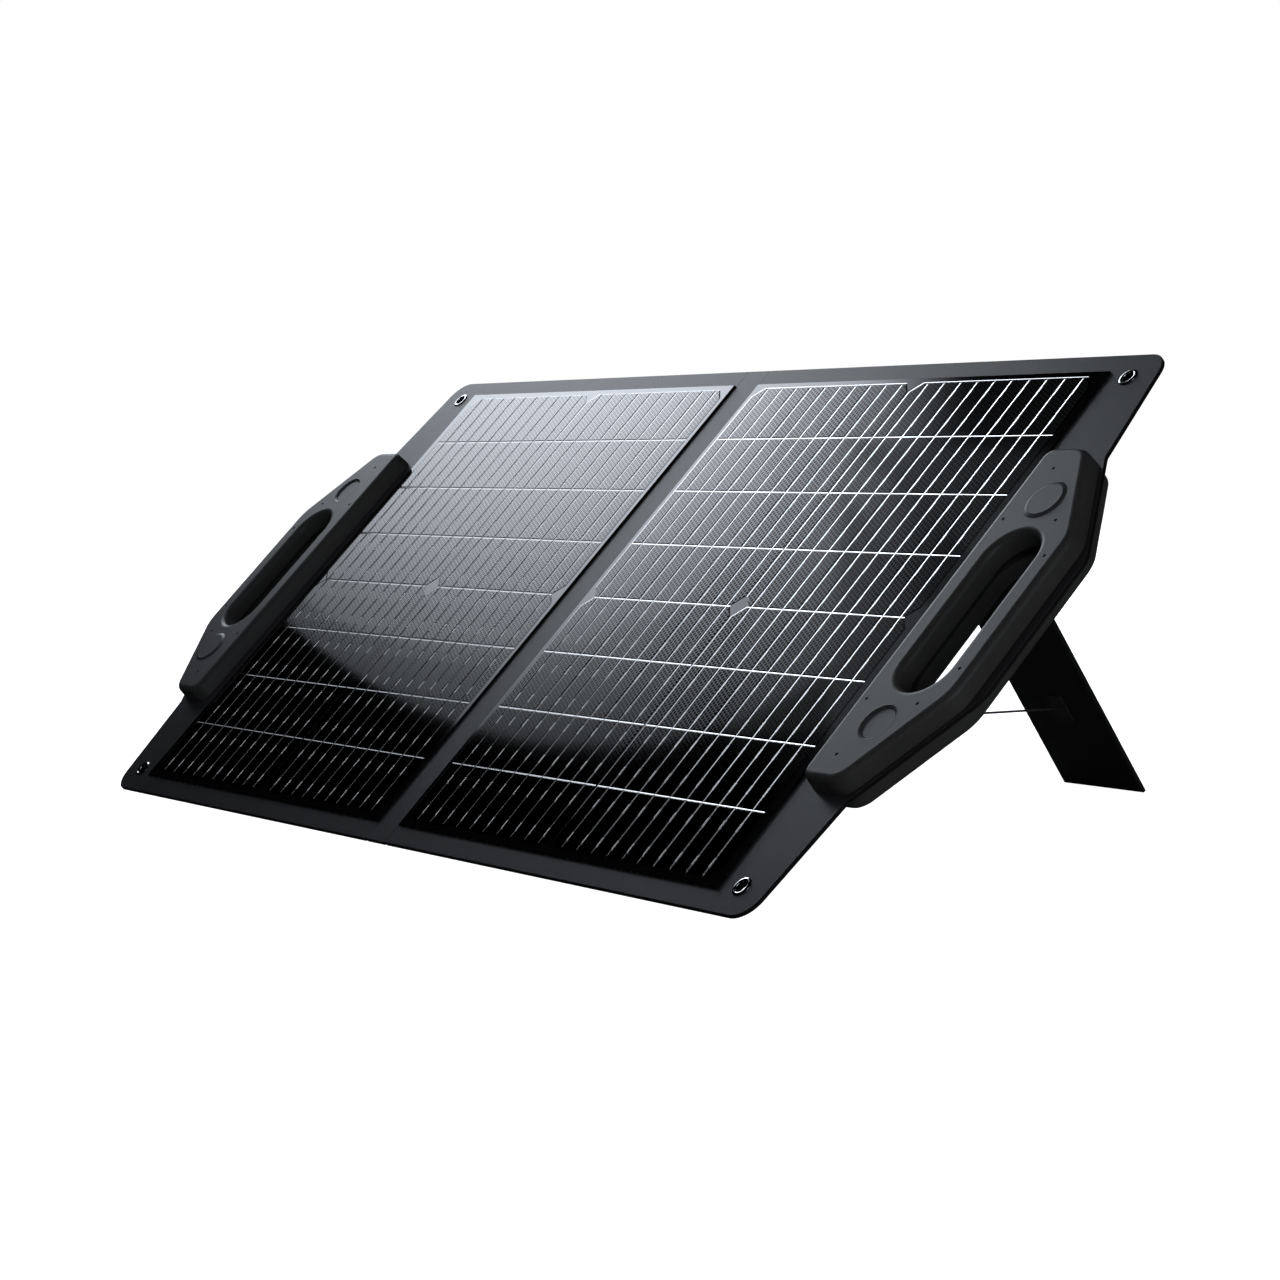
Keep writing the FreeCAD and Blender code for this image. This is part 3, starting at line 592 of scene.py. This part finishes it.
def add_pad_rims(side):
    """Sloping rims round the handle's raised disc and in its recess; the right one's disc is the upper."""
    boss_s, recess_s = (MID + way * PAD_SPOT[1] for way in ((1, -1) if side == "right" else (-1, 1)))
    top_n, floor_n = FACE_N + BOSS_H, FACE_N - RECESS_H
    shape = Shape()
    shape.lathe(PAD_SPOT[0], boss_s,
                ((BOSS_R - 0.9, top_n + 0.02), (BOSS_R - 0.5, top_n), (BOSS_R, FACE_N + 0.93),
                 (BOSS_R + RIM_OUT - 0.4, FACE_N + 0.16), (BOSS_R + RIM_OUT, FACE_N + 0.01),
                 (BOSS_R - 0.9, FACE_N - 0.1)), 96)
    shape.lathe(PAD_SPOT[0], recess_s,
                ((RECESS_R + 0.3, FACE_N + 0.02), (RECESS_R - 0.2, FACE_N - 0.02),
                 (RECESS_R - RIM_IN, floor_n + 0.1), (RECESS_R - RIM_IN - 0.4, floor_n + 0.01),
                 (RECESS_R + 0.3, floor_n)), 96)
    new_piece(side + "_pad_rims", shape.points, shape.faces, looks["handle"], side + "_leaf", side, True)


# ---------------------------------------------------------------- cloth over the creases and stand hinges
CREASE_HALF, CREASE_STOP = 5.0, 0.8                      # half the strip's width; its gap to the cloth's ends
CREASE_N, CREASE_T = -2.69, 0.58                         # middle depth and thickness
STAND_X = (162.0, 246.0)
PIVOT = (415.5, -4.2)                                    # stand's hinge line: s, n
STAND_OPEN = math.radians(79.8)
STAND_BACK = -8.9                                        # outer face of the folded stand's skin
HINGE_T = 0.8
HINGE_X = (170.0, 238.0)
HINGE_LAP = 20.0                                         # held flat on the leaf, and on the stand
HINGE_FREE = (12.0, 7.0)                                 # from the hinge line to the held part of each


def turned(s, n):
    """Where a point of the folded stand goes when the stand opens."""
    ds, dn = s - PIVOT[0], n - PIVOT[1]
    return (PIVOT[0] + ds * math.cos(STAND_OPEN) - dn * math.sin(STAND_OPEN),
            PIVOT[1] + ds * math.sin(STAND_OPEN) + dn * math.cos(STAND_OPEN))


def strip(path, thickness, x, columns):
    """A strip of cloth along a path in s and n, in a grid fine enough to bend, with closed edges."""
    rows = len(path)
    across = []
    for i in range(rows):
        before, after = path[max(i - 1, 0)], path[min(i + 1, rows - 1)]
        along = Vector((after[0] - before[0], after[1] - before[1])).normalized()
        across.append(Vector((-along.y, along.x)) * thickness / 2)
    points = []
    for sign in (1, -1):
        for (s, n), way in zip(path, across):
            for j in range(columns + 1):
                points.append((x[0] + (x[1] - x[0]) * j / columns, s + sign * way.x, n + sign * way.y))
    width = columns + 1
    back = rows * width
    faces = []
    for i in range(rows - 1):
        for j in range(columns):
            a = i * width + j
            faces += [(a, a + 1, a + width + 1, a + width),
                      (back + a, back + a + width, back + a + width + 1, back + a + 1)]
        a = i * width
        faces += [(a, a + width, back + a + width, back + a),
                  (a + columns, back + a + columns, back + a + columns + width, a + columns + width)]
    for j in range(columns):
        top = (rows - 1) * width + j
        faces += [(j, back + j, back + j + 1, j + 1), (top, top + 1, back + top + 1, back + top)]
    shape = Shape()
    shape.add(points, faces)
    return shape


def add_crease_cloth(side):
    """Back cloth over a fold line."""
    length, rows = PANEL_H - 2 * CREASE_STOP, 24
    path = [(CREASE_STOP + length * i / rows, CREASE_N) for i in range(rows + 1)]
    shape = strip(path, CREASE_T, (CREASE - CREASE_HALF, CREASE + CREASE_HALF), 12)
    made = new_piece(side + "_crease_strip", shape.points, shape.faces, looks["back_cloth"], None, side, False)
    if side == "left":
        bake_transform(made)
    else:
        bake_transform(made)
    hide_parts(side + "_crease_cloth")


def hinge_path():
    """The strap's middle line in s and n, and where its free part starts and ends."""
    leaf_n, outer = BACK - HINGE_T / 2, STAND_BACK - HINGE_T / 2
    start = (PIVOT[0] + HINGE_FREE[0], leaf_n)
    first, last = (turned(PIVOT[0] - HINGE_FREE[1] - more, outer) for more in (0, HINGE_LAP))
    share = (leaf_n - first[1]) / (last[1] - first[1])
    corner = (first[0] + share * (last[0] - first[0]), leaf_n)
    bend = []
    for i in range(17):
        t = i / 16
        mix = ((1 - t) ** 2, 2 * t * (1 - t), t ** 2)
        bend.append(tuple(mix[0] * start[k] + mix[1] * corner[k] + mix[2] * first[k] for k in (0, 1)))
    lap = [(start[0] + HINGE_LAP * (1 - i / 4), leaf_n) for i in range(4)]
    tail = [tuple(first[k] + (last[k] - first[k]) * i / 4 for k in (0, 1)) for i in range(1, 5)]
    return lap + bend + tail, start, first


def add_stand_hinge(side):
    """Woven strap that joins the stand to the leaf's back."""
    path, start, end = hinge_path()
    shape = strip(path, HINGE_T, HINGE_X, 16)
    made = new_piece(side + "_stand_strap", shape.points, shape.faces, looks["webbing"], None, side, False)
    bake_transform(made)
    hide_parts(side + "_stand_hinge")


# ---------------------------------------------------------------- tethers
TETHER_R = 0.8
TETHER_LEAF = (130.0, -4.0)                              # s, n where it meets the leaf's tab
TETHER_STAND = turned(PIVOT[0] - 252.0, -4.5)            # and the stand's tab
TETHER_SAG = 1.5                                         # in the middle


def route_points(points):
    """Points along the route's NURBS spline."""
    data = bpy.data.curves.new("route", "CURVE")
    data.dimensions = "3D"
    data.resolution_u = 12
    spline = data.splines.new("NURBS")
    spline.points.add(len(points) - 1)
    for point, place in zip(spline.points, points):
        point.co = (*place, 1)
    spline.order_u = 3
    spline.use_endpoint_u = True
    curve = bpy.data.objects.new("route", data)
    bpy.context.scene.collection.objects.link(curve)
    mesh = bpy.data.meshes.new_from_object(curve)
    found = [vertex.co.copy() for vertex in mesh.vertices]
    bpy.data.objects.remove(curve)
    bpy.data.curves.remove(data)
    bpy.data.meshes.remove(mesh)
    return found


def tube(path, r, sides):
    """Round closed tube along a path that never turns back."""
    points, faces = [], []
    for i, here in enumerate(path):
        along = (path[min(i + 1, len(path) - 1)] - path[max(i - 1, 0)]).normalized()
        right = along.cross(Vector((1, 0, 0))).normalized()
        up = right.cross(along)
        for j in range(sides):
            turn = 2 * math.pi * j / sides
            points.append(here + (right * math.cos(turn) + up * math.sin(turn)) * r)
        if i:
            a, b = (i - 1) * sides, i * sides
            faces += [(a + j, a + (j + 1) % sides, b + (j + 1) % sides, b + j) for j in range(sides)]
    faces += [tuple(range(sides))[::-1], tuple(range(len(points) - sides, len(points)))]
    return points, faces


def add_tether(side):
    """Thin taut cord between the leaf and its open stand."""
    flip = -1 if side == "left" else 1
    x = flip * sum(STAND_X) / 2
    ends = [at(x, *TETHER_LEAF), at(x, *TETHER_STAND)]
    middle = (ends[0] + ends[1]) / 2 - Vector((0, 0, 2 * TETHER_SAG * MM))     # the spline falls half as far
    path = route_points([ends[0], middle, ends[1]])
    points, faces = tube(path, TETHER_R * MM, 12)
    mesh = bpy.data.meshes.new(side + "_tether_cord")
    mesh.from_pydata(points, [], faces)
    mesh.materials.append(looks["tether"])
    mesh.shade_smooth()
    made = bpy.data.objects.new(side + "_tether_cord", mesh)
    bpy.context.scene.collection.objects.link(made)
    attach(made, side + "_leaf")
    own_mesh(made)
    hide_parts(side + "_tether")


for leaf in ("left", "right"):
    add_eyelets(leaf)
    add_pad_rims(leaf)
    add_crease_cloth(leaf)
    add_stand_hinge(leaf)
    add_tether(leaf)


# ---------------------------------------------------------------- room and light
def stage_plane(name, size, place, turn, material):
    mesh = bpy.data.meshes.new(name)
    w, h = size[0] / 2, size[1] / 2
    mesh.from_pydata([(-w, -h, 0), (w, -h, 0), (w, h, 0), (-w, h, 0)], [], [(0, 1, 2, 3)])
    mesh.materials.append(material)
    made = bpy.data.objects.new(name, mesh)
    bpy.context.scene.collection.objects.link(made)
    made.location = place
    made.rotation_euler = turn
    return made


def seen_only_by_camera(p, shader, bright):
    """Adds a glow that only the camera sees, so that it lights nothing."""
    path = p.node("ShaderNodeLightPath")
    strength = p.math("MULTIPLY", path.outputs["Is Camera Ray"], bright)
    glow = p.node("ShaderNodeEmission", None, Strength=strength)
    both = p.node("ShaderNodeAddShader", None, _0=shader, _1=glow.outputs[0])
    p.tree.links.new(both.outputs[0], p.tree.nodes["Material Output"].inputs[0])


def floor_material():
    p = Paint("floor")
    haze = p.noise(p.place(), 0.8, 2)
    p.set(color=p.mix(haze, grey(0.55), grey(0.57)), rough=0.9, specular=0.0)
    x, y, _ = p.axes(p.place())
    away = p.math("SQRT", p.math("ADD", p.math("MULTIPLY", x, x), p.math("MULTIPLY", y, y)))
    seen_only_by_camera(p, p.shader.outputs[0], p.ramp(away, 0.6, 3.5, 0.97, 1.0))
    return p.material


def add_room():
    """Pale floor, and a world that looks white but gives little light."""
    floor = stage_plane("floor", (30, 30), (0, 0, 0), (0, 0, 0), floor_material())
    floor.visible_glossy = False
    world = bpy.data.worlds.new("room")
    bpy.context.scene.world = world
    world.use_nodes = True
    tree = world.node_tree
    back = tree.nodes["Background"]
    path = tree.nodes.new("ShaderNodeLightPath")
    mixer = tree.nodes.new("ShaderNodeMix")
    mixer.data_type = "FLOAT"
    mixer.inputs[2].default_value = 0.08
    mixer.inputs[3].default_value = 1.0
    tree.links.new(path.outputs["Is Camera Ray"], mixer.inputs[0])
    tree.links.new(mixer.outputs[0], back.inputs[1])
    back.inputs[0].default_value = (1, 1, 1, 1)
    world.cycles_visibility.glossy = False


DISC_AT, DISC_R = (-2.5, 0.6, 1.8), 0.968                # round softbox, upright, to the left
DISC_GLOW, DISC_RIM = 4.9, 0.7                           # added in its middle, and all over
DISC_FALL = 1.3                                          # how fast the middle's glow falls off
DISC_TOP = (0.8, 0.5)                                    # fades out between these heights above its middle
CARD_AT, CARD_SIZE = (-2.5, -0.22, 2.95), (0.8, 1.3)     # dim card over the disc
GLINT_AT, GLINT_SIZE = (2.5, -0.5, 0.7), (0.9, 1.8)      # card to the right, for glints on the eyelets
CARD_GLOW, GLINT_GLOW = (0.12, 0.4), (1.0, 1.2)          # at a card's upper end and its lower end
CARD_FADE = (0.1, 0.4)                                   # how far below its middle the glow changes
LIGHT_TINT = (0.934, 1.0, 1.096, 1)


def glow_material(name, strength, radius=None):
    """Soft light: brighter towards its lower end, or fading from its middle to a round edge."""
    p = Paint(name)
    x, y, _ = p.axes(p.place())
    if radius is None:
        strength = p.ramp(x, *CARD_FADE, *strength)
    else:
        far = p.math("ADD", p.math("MULTIPLY", x, x), p.math("MULTIPLY", y, y))
        share = p.math("MAXIMUM", p.math("SUBTRACT", 1.0, p.math("DIVIDE", far, radius ** 2)), 0.0)
        inside = p.math("GREATER_THAN", share, 0.0)
        level = p.math("ADD", p.math("MULTIPLY", p.math("POWER", share, DISC_FALL), strength), DISC_RIM)
        level = p.math("MULTIPLY", level, p.ramp(x, -DISC_TOP[0], -DISC_TOP[1]))
        strength = p.math("MULTIPLY", inside, level)
    glow = p.node("ShaderNodeEmission", None, Color=LIGHT_TINT, Strength=strength)
    p.tree.links.new(glow.outputs[0], p.tree.nodes["Material Output"].inputs[0])
    return p.material


def area_light(name, place, target, size, power):
    light = bpy.data.lights.new(name, "AREA")
    light.shape = "RECTANGLE"
    light.size, light.size_y = size
    light.energy = power
    light.color = LIGHT_TINT[:3]
    made = bpy.data.objects.new(name, light)
    bpy.context.scene.collection.objects.link(made)
    made.location = place
    made.rotation_euler = (Vector(target) - Vector(place)).to_track_quat("-Z", "Y").to_euler()
    return made


def add_lights():
    """What the film mirrors comes from the softboxes; the area lights only light the rest."""
    upright = (0, math.pi / 2, 0)
    disc = stage_plane("softbox_disc", (2 * DISC_R, 2 * DISC_R), DISC_AT, upright,
                       glow_material("disc_glow", DISC_GLOW, DISC_R))
    card = stage_plane("softbox_card", CARD_SIZE[::-1], CARD_AT, upright,
                       glow_material("card_glow", CARD_GLOW))
    glint = stage_plane("softbox_right", GLINT_SIZE, GLINT_AT, upright,
                        glow_material("glint_glow", GLINT_GLOW))
    for softbox in (disc, card, glint):
        softbox.visible_camera = False
        softbox.visible_shadow = False
    top = area_light("top", (-1.1, -0.8, 2.4), (-0.2, 0, 0), (2.0, 2.0), 17)
    top.visible_glossy = False
    fill = area_light("fill", (2.5, -0.5, 0.45), (0.3, 0, 0.15), (2.2, 0.8), 19)
    fill.visible_glossy = False
    fill.data.color = (1, 0.99, 0.97)
    behind = area_light("behind", (-1.3, 2.6, 1.2), (0, 0.1, 0.1), (2.4, 1.4), 110)
    behind.visible_glossy = False


add_room()
add_lights()
view = bpy.context.scene.view_settings
view.view_transform = "Standard"
view.look = "None"
